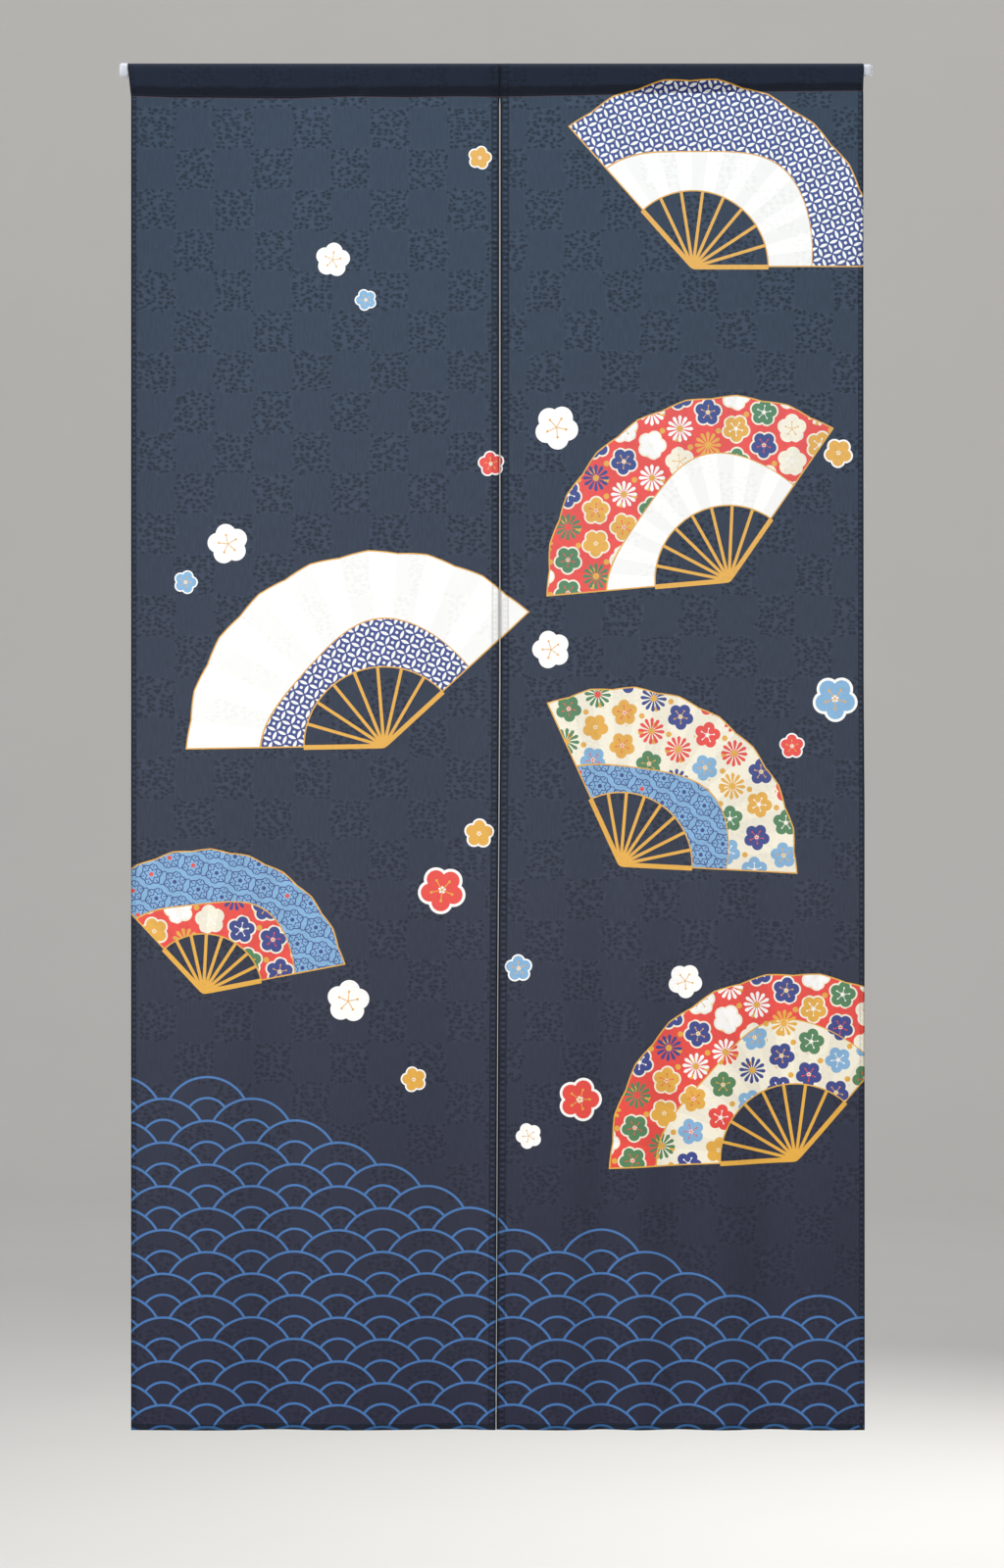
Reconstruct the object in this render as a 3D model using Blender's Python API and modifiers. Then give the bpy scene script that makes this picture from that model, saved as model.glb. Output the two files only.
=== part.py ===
"""A noren: a split doorway curtain of two hemmed cloths on a slim spring rod.

Each cloth is one solid. Its top edge is folded to the back and sewn down, which makes the
pocket that the rod passes through, and its side and bottom edges have narrow hems. The two
cloths meet edge to edge beside the pocket and part below it, where the slit runs to the hem.

X runs along the rod from the flat end of its left cap, Y runs away from the viewer and Z is
up, with the rod's axis at Y = 0 and Z = 0. All sizes are in metres.
"""

import math

import bmesh
import bpy
import numpy as np

NAME = "noren_curtain"

# The rod
ROD_LENGTH = 0.8258
OUTER_TUBE_RADIUS = 0.0065
OUTER_TUBE_SPAN = (0.0033, 0.5600)
INNER_TUBE_RADIUS = 0.0054
INNER_TUBE_SPAN = (0.5000, 0.8225)
TUBE_WALL = 0.0008
LEFT_CAP_RADIUS = 0.0080
LEFT_CAP_LENGTH = 0.0090
RIGHT_CAP_RADIUS = 0.0066
RIGHT_CAP_LENGTH = 0.0093
CAP_ROUNDING = 0.0016
CAP_FLOOR = 0.0030
CLEARANCE = 0.0003
ROUND_STEPS = 32
RIM_STEPS = 5

# The cloth
CLOTH_DROP = 1.4928
HEADER_DEPTH = 0.0295
SEAM_ABOVE_EDGE = 0.0020
TURN_IN_DEPTH = 0.0115
SHEET = 0.0010
TURN_IN_SHEET = 0.0016
HEM_EXTRA = 0.0007
HEM_SLOPE = 0.0008
BOTTOM_HEM = 0.0065
POCKET_ARC_STEPS = 12
DROP_STEPS = 28
WIDTH_STEPS = 28

# How far the header's lower edge lies below the rod's axis, along the rod
HEADER_EDGE = (
    # x, depth
    (0.013, 0.0283),
    (0.060, 0.0300),
    (0.190, 0.0310),
    (0.255, 0.0287),
    (0.315, 0.0296),
    (0.370, 0.0286),
    (0.415, 0.0292),
    (0.515, 0.0273),
    (0.600, 0.0253),
    (0.690, 0.0235),
    (0.817, 0.0224),
)

# The four upright edges of the two cloths, at depths below the rod's axis. The left cloth
# lies between the first two, and the right cloth between the last two.
UPRIGHT_EDGES = (
    # depth, left outer, left of slit, right of slit, right outer
    (-0.0080, 0.0094, 0.41725, 0.41755, 0.8161),
    (0.0300, 0.0127, 0.41725, 0.41755, 0.8161),
    (0.0330, 0.0129, 0.41590, 0.41890, 0.8162),
    (0.6750, 0.0129, 0.41590, 0.41890, 0.8165),
    (0.8100, 0.0129, 0.41460, 0.41740, 0.8175),
    (1.0030, 0.0129, 0.41300, 0.41570, 0.8175),
    (1.4800, 0.0129, 0.41110, 0.41320, 0.8177),
    (1.4928, 0.0129, 0.41130, 0.41270, 0.8177),
)

# Soft upright folds. Each is a trough or, with a depth below zero, a ridge toward the viewer,
# and grows from nothing at its start, a depth below the rod, to its full depth at the hem.
FOLDS = (
    # x, half width, depth, start
    (0.060, 0.050, -0.0020, 0.90),
    (0.112, 0.046, -0.0040, 0.60),
    (0.172, 0.034, 0.0065, 0.50),
    (0.252, 0.048, -0.0040, 0.55),
    (0.366, 0.038, 0.0060, 0.45),
    (0.492, 0.040, -0.0045, 0.50),
    (0.532, 0.028, 0.0070, 0.40),
    (0.568, 0.026, -0.0045, 0.60),
    (0.612, 0.026, 0.0055, 0.55),
    (0.664, 0.030, -0.0045, 0.55),
    (0.713, 0.030, 0.0065, 0.50),
    (0.772, 0.034, -0.0040, 0.60),
)

# The two cloths: the columns of the upright edges that bound each, its side hems, and how far
# its edge along the slit curls away from the viewer at the hem
PANELS = (
    # name, left column, right column, left hem, right hem, slit column, curl
    ("panel_left", 1, 2, 0.0056, 0.0082, 2, -0.0020),
    ("panel_right", 3, 4, 0.0094, 0.0058, 3, 0.0015),
)
CURL_WIDTH = 0.030
CURL_START = 0.50


def linear_channel(value):
    """One sRGB channel, 0 to 255, as the linear value that a shader takes."""
    share = value / 255
    return share / 12.92 if share <= 0.04045 else ((share + 0.055) / 1.055) ** 2.4


def make_material(name, hex_colour, roughness):
    material = bpy.data.materials.new(name)
    material.use_nodes = True
    shader = material.node_tree.nodes["Principled BSDF"]
    channels = [int(hex_colour[i : i + 2], 16) for i in (0, 2, 4)]
    colour = (*(linear_channel(channel) for channel in channels), 1.0)
    shader.inputs["Base Color"].default_value = colour
    shader.inputs["Roughness"].default_value = roughness
    shader.inputs["Metallic"].default_value = 0.0
    material.diffuse_color = colour
    return material


def add_object(name, mesh, collection, material):
    obj = bpy.data.objects.new(name, mesh)
    collection.objects.link(obj)
    mesh.materials.append(material)
    return obj


def eased(share):
    """A share from 0 to 1 that starts and ends gently."""
    held = min(max(share, 0.0), 1.0)
    return held * held * (3 - 2 * held)


def turned(name, profile, closed, collection, material):
    """A piece turned round its own Z, from (radius, height) points down its outer side."""
    mesh = bpy.data.meshes.new(name)
    count = len(profile)
    edges = [(i, (i + 1) % count) for i in range(count if closed else count - 1)]
    mesh.from_pydata([(radius, 0.0, height) for radius, height in profile], edges, [])
    obj = add_object(name, mesh, collection, material)
    screw = obj.modifiers.new("Turn", "SCREW")
    screw.steps = ROUND_STEPS
    screw.render_steps = ROUND_STEPS
    screw.use_merge_vertices = True
    screw.merge_threshold = 0.00001
    return obj


def make_tube(name, radius, span, collection, material):
    """A plain tube, open at both ends, that lies along the rod's axis."""
    bore = radius - TUBE_WALL
    length = span[1] - span[0]
    profile = [(radius, length), (radius, 0.0), (bore, 0.0), (bore, length)]
    tube = turned(name, profile, True, collection, material)
    tube.location.x = span[0]
    tube.rotation_euler.y = math.pi / 2
    return tube


def make_cap(name, radius, length, tube_radius, collection, material):
    """An end cap with a flat round face at its origin, a rounded rim and a socket for the tube."""
    socket = tube_radius + CLEARANCE
    rim = [
        (
            radius - CAP_ROUNDING * (1 - math.cos(angle)),
            CAP_ROUNDING * (1 - math.sin(angle)),
        )
        for angle in np.linspace(0, math.pi / 2, RIM_STEPS)
    ]
    wall = [(0.0, CAP_FLOOR), (socket, CAP_FLOOR), (socket, length), (radius, length)]
    return turned(name, wall + rim + [(0.0, 0.0)], False, collection, material)


def header_depth(x):
    """How far the header's lower edge lies below the rod at this place along it."""
    places, depths = zip(*HEADER_EDGE)
    return float(np.interp(x, places, depths))


def upright_edge(column, z):
    """The place along the rod of one upright edge, at this height."""
    rows = np.array(UPRIGHT_EDGES)
    return float(np.interp(-z, rows[:, 0], rows[:, column]))


def fold_offset(x, z):
    """How far the folds push the cloth away from the viewer."""
    return sum(
        depth
        * eased((-z - start) / (CLOTH_DROP - start))
        * math.exp(-(((x - centre) / half_width) ** 2))
        for centre, half_width, depth, start in FOLDS
    )


def pocket_section():
    """Pairs of inner and outer points, in Y and Z, up the pocket's front and down its back."""
    radius = OUTER_TUBE_RADIUS + CLEARANCE
    seam = HEADER_DEPTH - SEAM_ABOVE_EDGE
    lean = math.acos(radius / seam)

    def wall(side, height, thickness):
        """The straight wall, at a height above the seam, on the front (-1) or the back (1)."""
        inner = (side * height / math.tan(lean), height - seam)
        outward = (side * thickness * math.sin(lean), -thickness * math.cos(lean))
        return inner, (inner[0] + outward[0], inner[1] + outward[1])

    def over_rod(turn):
        """The round top, at an angle from straight up."""
        return tuple(
            (r * math.sin(turn), r * math.cos(turn)) for r in (radius, radius + SHEET)
        )

    front = [((0.0, -seam), (-SHEET, -seam)), wall(-1, TURN_IN_DEPTH, SHEET)]
    top = [over_rod(t) for t in np.linspace(lean - math.pi, math.pi - lean, POCKET_ARC_STEPS + 1)]
    back = [
        wall(1, TURN_IN_DEPTH + HEM_SLOPE, SHEET),
        wall(1, TURN_IN_DEPTH, TURN_IN_SHEET),
        ((0.0, -seam), (TURN_IN_SHEET, -seam)),
    ]
    return front + top + back


def flap_section():
    """The turned-in edge below the seam, where it lies on the back of the hanging cloth."""
    seam = HEADER_DEPTH - SEAM_ABOVE_EDGE
    return [((0.0, -depth), (TURN_IN_SHEET, -depth)) for depth in (seam, HEADER_DEPTH)]


def sheet_section():
    """The hanging cloth from the seam down, with its bottom hem turned up at the back."""
    seam = HEADER_DEPTH - SEAM_ABOVE_EDGE
    hem_top = CLOTH_DROP - BOTTOM_HEM
    first = HEADER_DEPTH + HEM_SLOPE
    depths = [seam, HEADER_DEPTH, *np.linspace(first, hem_top - HEM_SLOPE, DROP_STEPS)]
    rows = [((0.0, -depth), (-SHEET, -depth)) for depth in depths]
    return rows + [((HEM_EXTRA, -depth), (-SHEET, -depth)) for depth in (hem_top, CLOTH_DROP)]


def add_strip(bm, pairs):
    """A strip of faces between the inner and the outer points, in the plane across the rod."""
    rows = [[bm.verts.new((0.0, y, z)) for y, z in pair] for pair in pairs]
    for upper, lower in zip(rows, rows[1:]):
        bm.faces.new((upper[0], upper[1], lower[1], lower[0]))


def width_stations(left_hem, right_hem, width):
    """Shares of the width where the cloth has a row of points, closer together at its hems."""
    inner_left = left_hem + HEM_SLOPE
    inner_right = width - right_hem - HEM_SLOPE
    middle = np.linspace(inner_left, inner_right, WIDTH_STEPS)
    places = [0.0, left_hem, *middle, width - right_hem, width]
    return [place / width for place in places]


def hung(point, panel, width):
    """Where a point of the straight cloth lies once the cloth hangs from the rod."""
    _, left, right, left_hem, right_hem, slit, curl = panel
    share, y, z = point
    x = upright_edge(left, z) * (1 - share) + upright_edge(right, z) * share
    edge = header_depth(x)
    in_side_hem = share * width <= left_hem * 1.001 or (1 - share) * width <= right_hem * 1.001
    if z < -HEADER_DEPTH - HEM_SLOPE / 2 and in_side_hem and y > -SHEET / 2:
        y = HEM_EXTRA
    if z < -HEADER_DEPTH:
        below = (-z - HEADER_DEPTH) / (CLOTH_DROP - HEADER_DEPTH)
        z = -edge - below * (CLOTH_DROP - edge)
    elif z < 0:
        z *= edge / HEADER_DEPTH
    from_slit = (x - upright_edge(slit, z)) / CURL_WIDTH
    grown = eased((-z - CURL_START) / (CLOTH_DROP - CURL_START))
    return x, y + fold_offset(x, z) + curl * grown * math.exp(-(from_slit**2)), z


def make_panel(panel, collection, material):
    """One hemmed cloth: its section is drawn once, run along the rod, and then hung."""
    name, left, right, left_hem, right_hem, _, _ = panel
    width = upright_edge(right, -CLOTH_DROP) - upright_edge(left, -CLOTH_DROP)
    bm = bmesh.new()
    for pairs in (pocket_section(), flap_section(), sheet_section()):
        add_strip(bm, pairs)
    bmesh.ops.remove_doubles(bm, verts=bm.verts, dist=0.00001)
    section = bm.faces[:] + bm.edges[:]
    stations = width_stations(left_hem, right_hem, width)
    for before, after in zip(stations, stations[1:]):
        section = bmesh.ops.extrude_face_region(bm, geom=section)["geom"]
        verts = [item for item in section if isinstance(item, bmesh.types.BMVert)]
        bmesh.ops.translate(bm, verts=verts, vec=(after - before, 0.0, 0.0))
    for vert in bm.verts:
        vert.co = hung(vert.co, panel, width)
    bmesh.ops.recalc_face_normals(bm, faces=bm.faces)
    mesh = bpy.data.meshes.new(name)
    bm.to_mesh(mesh)
    bm.free()
    mesh.shade_smooth()
    mesh.set_sharp_from_angle(angle=math.radians(40))
    return add_object(name, mesh, collection, material)


def make_rod(collection, tube_material, cap_material):
    """The spring rod: a thinner tube inside a wider one, with a cap on each end."""
    make_tube("rod_outer_tube", OUTER_TUBE_RADIUS, OUTER_TUBE_SPAN, collection, tube_material)
    make_tube("rod_inner_tube", INNER_TUBE_RADIUS, INNER_TUBE_SPAN, collection, tube_material)
    left = make_cap(
        "rod_cap_left",
        LEFT_CAP_RADIUS,
        LEFT_CAP_LENGTH,
        OUTER_TUBE_RADIUS,
        collection,
        cap_material,
    )
    left.rotation_euler.y = math.pi / 2
    right = make_cap(
        "rod_cap_right",
        RIGHT_CAP_RADIUS,
        RIGHT_CAP_LENGTH,
        INNER_TUBE_RADIUS,
        collection,
        cap_material,
    )
    right.location.x = ROD_LENGTH
    right.rotation_euler.y = -math.pi / 2


def main():
    for obj in list(bpy.data.objects):
        bpy.data.objects.remove(obj)
    collection = bpy.data.collections.new(NAME)
    bpy.context.scene.collection.children.link(collection)
    make_rod(
        collection,
        make_material("white painted steel", "E8E8E6", 0.35),
        make_material("white plastic", "DEDEDC", 0.5),
    )
    cloth = make_material("slate blue polyester cloth", "434D5D", 0.85)
    for panel in PANELS:
        make_panel(panel, collection, cloth)


main()
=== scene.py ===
"""The looks of a noren, a split doorway curtain of two hemmed cloths on a slim spring rod.

The file is laid out as a Blender add-on and is run as a script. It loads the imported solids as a
fixed frame, X along the rod from its left end, Y away from the viewer and Z up, in metres, and
dresses them: the two cloths are cut flat, printed, folded at their pockets and hems and hung,
then come their stitches, the rod's finish and caps, and a plain stage. Patterns on the cloth are
worked out in millimetres on its flat face.
"""

import math
from functools import partial

import bmesh
import bpy
import numpy as np
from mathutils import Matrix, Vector


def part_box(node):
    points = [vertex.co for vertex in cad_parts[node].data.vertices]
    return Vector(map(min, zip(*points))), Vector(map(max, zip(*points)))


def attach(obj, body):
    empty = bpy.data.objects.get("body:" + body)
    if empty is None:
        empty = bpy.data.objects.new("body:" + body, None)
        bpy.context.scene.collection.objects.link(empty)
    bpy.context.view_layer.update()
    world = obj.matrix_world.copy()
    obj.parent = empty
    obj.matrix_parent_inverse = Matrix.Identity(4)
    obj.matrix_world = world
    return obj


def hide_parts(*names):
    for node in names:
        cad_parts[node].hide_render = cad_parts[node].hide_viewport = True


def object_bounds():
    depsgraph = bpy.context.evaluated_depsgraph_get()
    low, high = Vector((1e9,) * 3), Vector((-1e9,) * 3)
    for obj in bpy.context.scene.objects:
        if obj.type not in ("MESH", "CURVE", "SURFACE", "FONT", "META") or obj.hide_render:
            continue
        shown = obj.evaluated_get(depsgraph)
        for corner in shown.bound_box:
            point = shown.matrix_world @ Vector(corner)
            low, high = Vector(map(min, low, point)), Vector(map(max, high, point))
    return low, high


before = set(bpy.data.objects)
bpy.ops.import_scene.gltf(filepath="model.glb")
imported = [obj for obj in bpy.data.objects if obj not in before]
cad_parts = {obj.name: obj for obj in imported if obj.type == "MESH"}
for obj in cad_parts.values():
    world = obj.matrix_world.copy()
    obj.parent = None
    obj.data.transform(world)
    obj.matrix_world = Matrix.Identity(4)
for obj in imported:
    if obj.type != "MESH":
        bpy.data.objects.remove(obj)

bl_info = {
    "name": "Noren Curtain",
    "version": (1, 0, 0),
    "blender": (4, 5, 0),
    "location": "3D View > Sidebar > Noren",
    "description": "Dresses the solids of a split doorway curtain with cloth, print, stitches and a stage",
    "category": "Add Mesh",
}

MM = 0.001
BODY = "root"


def round_radius(node):
    """The radius of one of the rod's round solids."""
    low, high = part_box(node)
    return (high.z - low.z) / 2


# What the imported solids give: the whole box, the rod's radius and the cloth's lowest point
CAD_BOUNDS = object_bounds()
ROD_RADIUS = round_radius("rod_outer_tube")
CLOTH_DROP = -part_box("panel_left")[0].z

# The cloth's construction: Y is that of the middle of the front layer and of the pocket's back
HEADER_DEPTH = 0.0295
SEAM_ABOVE_EDGE = 0.0020
TURN_IN_DEPTH = 0.0115
BOTTOM_HEM = 0.0065
POCKET_CLEARANCE = 0.00095
LAYER_STEP = 0.0005
FRONT_Y = -0.00060
BACK_Y = 0.00040
FOLD_ROUNDING = 0.0004

# How well the layers behind the face cover it, from 0 for the single cloth to 1 for a pressed fold
# The cover sets the cloth's painted shade and the painted light that comes through it
POCKET_COVER = 0.8
BOTTOM_HEM_COVER = 0.90
SIDE_HEM_COVER = 0.25
SIDE_HEM_INNER_COVER = 0.22

# How far the header's lower edge lies below the rod's axis, along the rod
HEADER_EDGE = (
    # x, depth
    (0.013, 0.0283),
    (0.060, 0.0300),
    (0.190, 0.0310),
    (0.255, 0.0287),
    (0.315, 0.0296),
    (0.370, 0.0286),
    (0.415, 0.0292),
    (0.515, 0.0273),
    (0.600, 0.0253),
    (0.690, 0.0235),
    (0.817, 0.0224),
)

# The four upright edges of the two cloths, at depths below the rod's axis
UPRIGHT_EDGES = (
    # depth, left outer, left of slit, right of slit, right outer
    (-0.0080, 0.0094, 0.41725, 0.41755, 0.8161),
    (0.0300, 0.0127, 0.41725, 0.41755, 0.8161),
    (0.0330, 0.0129, 0.41655, 0.41825, 0.8162),
    (0.6750, 0.0129, 0.41655, 0.41825, 0.8165),
    (0.8100, 0.0129, 0.41580, 0.41720, 0.8175),
    (1.0030, 0.0129, 0.41460, 0.41580, 0.8175),
    (1.4800, 0.0129, 0.41280, 0.41380, 0.8177),
    (1.4928, 0.0129, 0.41285, 0.41375, 0.8177),
)

# Soft upright folds: troughs and, with a depth below zero, ridges toward the viewer. Each grows
# from nothing at its start, a depth below the rod, to its full depth at the hem.
FOLDS = (
    # x, half width, depth, start
    (0.060, 0.050, -0.0020, 0.90),
    (0.112, 0.046, -0.0040, 0.60),
    (0.172, 0.034, 0.0065, 0.50),
    (0.252, 0.048, -0.0040, 0.55),
    (0.366, 0.038, 0.0060, 0.45),
    (0.492, 0.040, -0.0045, 0.50),
    (0.532, 0.028, 0.0070, 0.40),
    (0.568, 0.026, -0.0045, 0.60),
    (0.612, 0.026, 0.0055, 0.55),
    (0.664, 0.030, -0.0045, 0.55),
    (0.713, 0.030, 0.0065, 0.50),
    (0.772, 0.034, -0.0040, 0.60),
)

# Small uneven ripples between the folds, in shares of the height that the settings give
RIPPLES = (
    # cycles a metre across, cycles a metre down, phase, share
    (5.3, 0.9, 0.4, 0.45),
    (8.1, -1.3, 2.1, 0.30),
    (13.7, 2.2, 4.0, 0.15),
    (2.9, 3.1, 1.2, 0.35),
)
RIPPLE_START = 0.03
RIPPLE_GROWTH = 0.25

# Beside the slit the cloths curl apart: how far the curl reaches, and how low it starts
CURL_WIDTH = 0.030
CURL_START = 0.50

# The two cloths. Edges and slit are columns of the table of upright edges, and hems are the
# widths of the side hems, from left to right.
PANELS = (
    {
        "side": "left",
        "node": "panel_left",
        "edges": (1, 2),
        "hems": (0.0056, 0.0082),
        "slit": 2,
        "curl": -0.0020,
        "rods": ["rod_outer_tube"],
    },
    {
        "side": "right",
        "node": "panel_right",
        "edges": (3, 4),
        "hems": (0.0094, 0.0058),
        "slit": 3,
        "curl": 0.0015,
        "rods": ["rod_outer_tube", "rod_inner_tube"],
    },
)

# Spacing of the cloth's rows and columns of points
COLUMN_STEP = 0.0046
ROW_STEP = 0.0070
POCKET_ARC_STEPS = 24
POCKET_WALL_STEPS = 6

# Stitching. A painted light dot lies between each pair of stitches.
STITCH_PITCH = 0.00321
STITCH_SIZE = (0.0023, 0.00042, 0.00030)
DOT_PITCH = 0.00642
STITCH_FROM_HEM_EDGE = 0.0012

# The ground's woven squares, in millimetres
SQUARE_WIDTH = 42.5
SQUARE_HEIGHT = 44.6
SQUARES_LEFT = 17.5
SQUARES_TOP = -41.2

# The folding fans of the print. Place and radius are in millimetres on the cloth's face, the
# turn is in degrees to the right of upright and the span is the angle that the fan is open.
# Its outer and inner patterns meet at a share of the radius, along a line that waves.
FANS = (
    # x, y, radius, turn, span, outer pattern, inner pattern, share
    (628, -216, 208, 24, 132, "lattice", "white", 0.66),
    (668, -560, 204, -30, 130, "red flowers", "white", 0.64),
    (288, -742, 216, -22, 138, "white", "lattice", 0.60),
    (548, -872, 196, 34, 118, "cream flowers", "blue hexagons", 0.60),
    (92, -1012, 158, 18, 122, "blue hexagons", "red flowers", 0.66),
    (742, -1196, 206, -26, 134, "red flowers", "cream flowers", 0.70),
)

# The fans' patterns, in the order of their codes, the room kept beside a fan for its guards,
# and the width of the line where its two patterns meet
FAN_CLOTHS = ("white", "lattice", "blue hexagons", "red flowers", "cream flowers")
GUARD_ROOM = 2.6
FAN_JOIN = 1.4

# Single blossoms between the fans. A blossom's reach is in its radii, with its rim.
BLOSSOM_COLOURS = ("white", "light_blue", "red", "ochre")
BLOSSOM_REACH = 1.12
CODE_STEP = 0.01
BLOSSOMS = (
    # x, y, radius, turn, colour
    (232, -208, 17, 10, "white"),
    (268, -252, 11, 40, "light_blue"),
    (404, -432, 13, 25, "red"),
    (476, -392, 22, 60, "white"),
    (392, -96, 12, 5, "ochre"),
    (790, -420, 15, 50, "ochre"),
    (118, -520, 20, 30, "white"),
    (72, -562, 12, 0, "light_blue"),
    (786, -690, 23, 55, "light_blue"),
    (738, -742, 13, 20, "red"),
    (470, -636, 19, 35, "white"),
    (392, -838, 15, 15, "ochre"),
    (352, -900, 24, 48, "red"),
    (436, -986, 14, 22, "light_blue"),
    (620, -1000, 17, 58, "white"),
    (250, -1022, 21, 12, "white"),
    (322, -1108, 13, 33, "ochre"),
    (504, -1130, 22, 0, "red"),
    (448, -1170, 13, 40, "white"),
)

# The waves at the foot of the print, drawn as rows of ringed scales, in millimetres. A scale is
# drawn where its centre lies under a line that falls to the right and rolls.
WAVE_RADIUS = 48.0
WAVE_RING = 23.0
WAVE_LINE = 1.25
WAVE_TOP = -1120.0
WAVE_CLIMB = -0.34
WAVE_ROLL = 20.0
WAVE_ROLL_LENGTH = 125.0

# Print colours
COLOURS = {
    "white": "FBFAF6",
    "cream": "F3ECD6",
    "red": "E8412A",
    "ochre": "E3A92F",
    "green": "4A7F4B",
    "light_blue": "7FAED3",
    "line_blue": "3C71AC",
    "navy": "2B3A82",
}


def linear(hex_colour):
    """An sRGB hex colour as the linear red, green, blue and alpha that a shader takes."""
    shares = [int(hex_colour[i : i + 2], 16) / 255 for i in (0, 2, 4)]
    return tuple(
        share / 12.92 if share <= 0.04045 else ((share + 0.055) / 1.055) ** 2.4
        for share in shares
    ) + (1.0,)


def ink(name):
    """A colour of the print, by its name."""
    return linear(COLOURS[name])


def eased(share):
    """Shares from 0 to 1 that start and end gently."""
    held = np.clip(share, 0.0, 1.0)
    return held * held * (3 - 2 * held)


def colour_setting(name, description, hex_colour):
    """A colour that the user can change, from its sRGB hex default."""
    return bpy.props.FloatVectorProperty(
        name=name,
        description=description,
        default=linear(hex_colour)[:3],
        size=3,
        min=0.0,
        max=1.0,
        subtype="COLOR",
    )


def measured_setting(name, description, default, unit="LENGTH", **limits):
    """A length or power that the user can change. It isn't below zero unless its limits say so."""
    limits.setdefault("min", 0.0)
    return bpy.props.FloatProperty(
        name=name, description=description, default=default, unit=unit, **limits
    )


class NorenClothSettings(bpy.types.PropertyGroup):
    """Sizes and colours of the two cloths"""

    thickness: measured_setting(
        "Cloth Thickness", "Thickness of one layer of the cloth", 0.00042, min=0.0002, max=0.0005
    )
    ripple: measured_setting(
        "Ripple", "Height of the small uneven ripples between the folds", 0.00035, max=0.001
    )
    ground: colour_setting(
        "Ground", "Dyed colour of the doubled cloth, where no light comes through it", "1D2535"
    )
    # The glows are painted light, added to the ground where light comes through the single cloth
    glow_top: colour_setting(
        "Glow at the Top", "What the sheer single cloth adds to the ground at its top", "323E49"
    )
    glow_middle: colour_setting(
        "Glow at the Middle", "What the sheer single cloth adds to it halfway down", "33343B"
    )
    glow_foot: colour_setting(
        "Glow at the Foot", "What the sheer single cloth adds to it at the hem", "1D141D"
    )
    thread: colour_setting("Thread", "Colour of the sewing thread", "1B2535")


class NorenRodSettings(bpy.types.PropertyGroup):
    """Finish of the rod and its caps"""

    enamel: colour_setting("Enamel", "Colour of the rod's enamelled tubes", "E9E9E7")
    cap: colour_setting("Caps", "Colour of the moulded end caps", "C8CDD7")
    cap_rounding: measured_setting(
        "Cap Rounding", "Radius of the caps' rounded rims", 0.0028, min=0.0005, max=0.003
    )


class NorenStageSettings(bpy.types.PropertyGroup):
    """The floor, the lights and the camera"""

    floor_drop: measured_setting("Floor Below Hem", "Height of the hem above the floor", 0.42)
    room_radius: measured_setting(
        "Room Radius", "How far the wall that the floor curves up into stands off", 10.0, min=8.0
    )
    camera_distance: measured_setting(
        "Camera Distance", "How far the camera stands in front of the cloth", 5.0, min=1.0
    )
    key_power: measured_setting("Key Light", "Power of the large light in front", 93.0, "POWER")
    fill_power: measured_setting("Fill Light", "Power of the light on the other side", 28.0, "POWER")
    rim_power: measured_setting("Rim Light", "Power of the light above and behind the rod", 28.0, "POWER")
    back_power: measured_setting(
        "Back Light", "Power of the light on the back of the curtain", 75.0, "POWER"
    )
    wall_power: measured_setting(
        "Wall Light", "Power of the light that washes the wall behind", 68.0, "POWER"
    )
    floor_colour: colour_setting("Floor", "Colour of the floor and backdrop", "E4E2DE")


def output_of(value):
    """The first output in use of a node, or the value itself if it is no node."""
    if isinstance(value, bpy.types.Node):
        return next(socket for socket in value.outputs if socket.enabled)
    return value


def fill(tree, socket, value):
    """Links a node or an output to an input, or sets the input to a plain value."""
    value = output_of(value)
    if isinstance(value, bpy.types.NodeSocket):
        tree.links.new(value, socket)
    else:
        socket.default_value = value


def put_node(tree, kind, *values, sockets=None, **settings):
    """Adds a shader node with its settings, and fills its inputs in order or by name.

    A kind in capitals is an operation of the Math node, and a node group is a kind too. What
    follows a dot is the operation, or the type of what is mixed. The order skips inputs that the
    settings switch off.
    """
    if isinstance(kind, bpy.types.NodeTree):
        settings["node_tree"] = kind
        kind = "Group"
    if kind.isupper():
        kind = "Math." + kind
    kind, _, mode = kind.partition(".")
    if mode:
        settings["data_type" if kind == "Mix" else "operation"] = mode
    node = tree.nodes.new("ShaderNode" + kind)
    for name, value in settings.items():
        setattr(node, name, value)
    in_use = [socket for socket in node.inputs if socket.enabled]
    for socket, value in zip(in_use, values):
        fill(tree, socket, value)
    for name, value in (sockets or {}).items():
        fill(tree, node.inputs[name], value)
    return node


def set_stops(node, places, colours, interpolation="LINEAR"):
    """Gives a colour ramp its stops."""
    ramp = node.color_ramp
    ramp.interpolation = interpolation
    while len(ramp.elements) < len(places):
        ramp.elements.new(1.0)
    for index, (place, colour) in enumerate(zip(places, colours)):
        ramp.elements[index].position = place
        ramp.elements[index].color = colour
    return node


def set_inks(node, names):
    """Gives a colour ramp equal steps of the named print colours."""
    places = [index / len(names) for index in range(len(names))]
    return set_stops(node, places, [ink(name) for name in names], "CONSTANT")


def new_group(name, **inputs):
    """An empty node group, what puts nodes in it and the sockets that it is given."""
    tree = bpy.data.node_groups.new(name, "ShaderNodeTree")
    for label, kind in inputs.items():
        tree.interface.new_socket(label, in_out="INPUT", socket_type="NodeSocket" + kind)
    given = tree.nodes.new("NodeGroupInput").outputs
    return tree, partial(put_node, tree), *[given[label] for label in inputs]


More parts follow.
